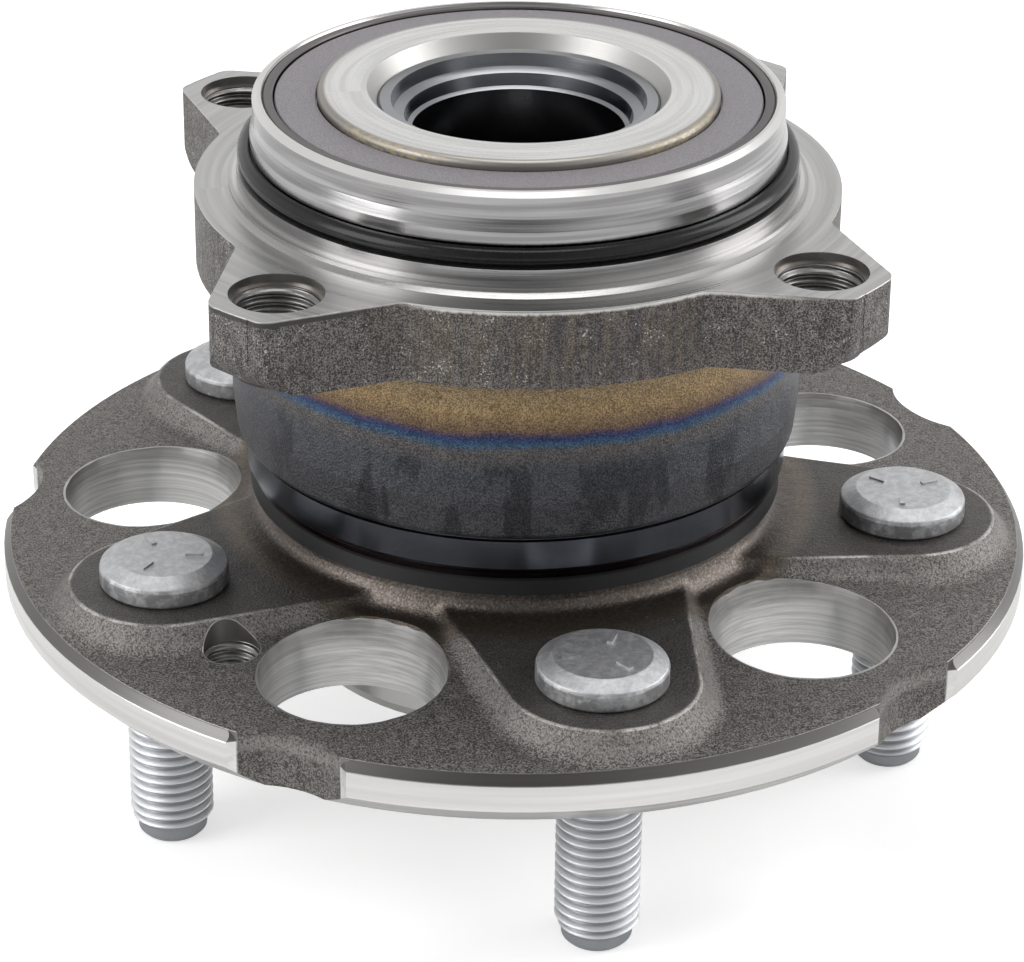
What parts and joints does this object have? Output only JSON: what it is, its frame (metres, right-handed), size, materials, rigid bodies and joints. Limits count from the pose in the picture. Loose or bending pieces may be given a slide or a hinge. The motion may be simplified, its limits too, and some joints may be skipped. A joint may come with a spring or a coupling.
{
  "type": "wheel hub bearing",
  "caption": "Flanged wheel hub bearing: a forged hub with pressed studs turns in a flanged outer ring on two ball rows, with seals at both ends and a splined bore.",
  "frame": {"origin": "centre of the wheel mounting face, on the spin axis", "axes": "+Z along the spin axis from the wheel face towards the knuckle, so the wheel studs point down; the lugs of the outer ring lie at 45 degrees to X and Y"},
  "size_m": [0.1506, 0.1506, 0.1051],
  "materials": {
    "ring_steel": "forged and shot blasted steel with turned and ground faces",
    "hub_steel": "dark forged steel, heat tinted near the seal, with turned faces",
    "ground_steel": "ground bearing steel",
    "stud_steel": "phosphated stud steel",
    "case_steel": "pressed sheet steel",
    "seal_rubber": "black moulded rubber",
    "encoder": "magnetic rubber with a fine metallic speckle",
    "cage_plastic": "glass filled nylon",
    "ball_steel": "polished bearing balls"
  },
  "bodies": {
    "outer": {"outer_ring": "ring_steel", "knuckle_o_ring": "seal_rubber", "inboard_seal_case": "case_steel", "inboard_seal_lips": "seal_rubber", "outboard_seal_case": "case_steel", "outboard_seal_lips": "seal_rubber"},
    "hub": {"hub": "hub_steel", "inner_ring": "ground_steel", "inboard_slinger": "case_steel", "encoder_ring": "encoder", "wheel_stud_1": "stud_steel", "wheel_stud_2": "stud_steel", "wheel_stud_3": "stud_steel", "wheel_stud_4": "stud_steel", "wheel_stud_5": "stud_steel"},
    "inboard_row": {"inboard_cage": "cage_plastic", "inboard_ball_1": "ball_steel", "inboard_ball_2": "ball_steel", "inboard_ball_3": "ball_steel", "inboard_ball_4": "ball_steel", "inboard_ball_5": "ball_steel", "inboard_ball_6": "ball_steel", "inboard_ball_7": "ball_steel", "inboard_ball_8": "ball_steel", "inboard_ball_9": "ball_steel", "inboard_ball_10": "ball_steel", "inboard_ball_11": "ball_steel", "inboard_ball_12": "ball_steel", "inboard_ball_13": "ball_steel", "inboard_ball_14": "ball_steel"},
    "outboard_row": {"outboard_cage": "cage_plastic", "outboard_ball_1": "ball_steel", "outboard_ball_2": "ball_steel", "outboard_ball_3": "ball_steel", "outboard_ball_4": "ball_steel", "outboard_ball_5": "ball_steel", "outboard_ball_6": "ball_steel", "outboard_ball_7": "ball_steel", "outboard_ball_8": "ball_steel", "outboard_ball_9": "ball_steel", "outboard_ball_10": "ball_steel", "outboard_ball_11": "ball_steel", "outboard_ball_12": "ball_steel", "outboard_ball_13": "ball_steel", "outboard_ball_14": "ball_steel"}
  },
  "joints": [
    {"name": "hub_spin", "type": "hinge", "parent": "outer", "child": "hub", "pos_m": [0, 0, 0.045], "axis": [0, 0, 1], "continuous": true},
    {"name": "inboard_row_orbit", "type": "hinge", "parent": "outer", "child": "inboard_row", "pos_m": [0, 0, 0.06], "axis": [0, 0, 1], "continuous": true},
    {"name": "outboard_row_orbit", "type": "hinge", "parent": "outer", "child": "outboard_row", "pos_m": [0, 0, 0.0322], "axis": [0, 0, 1], "continuous": true}
  ],
  "couplings": [
    {"joint": "inboard_row_orbit", "follows": "hub_spin", "ratio": 0.424},
    {"joint": "outboard_row_orbit", "follows": "hub_spin", "ratio": 0.424}
  ]
}
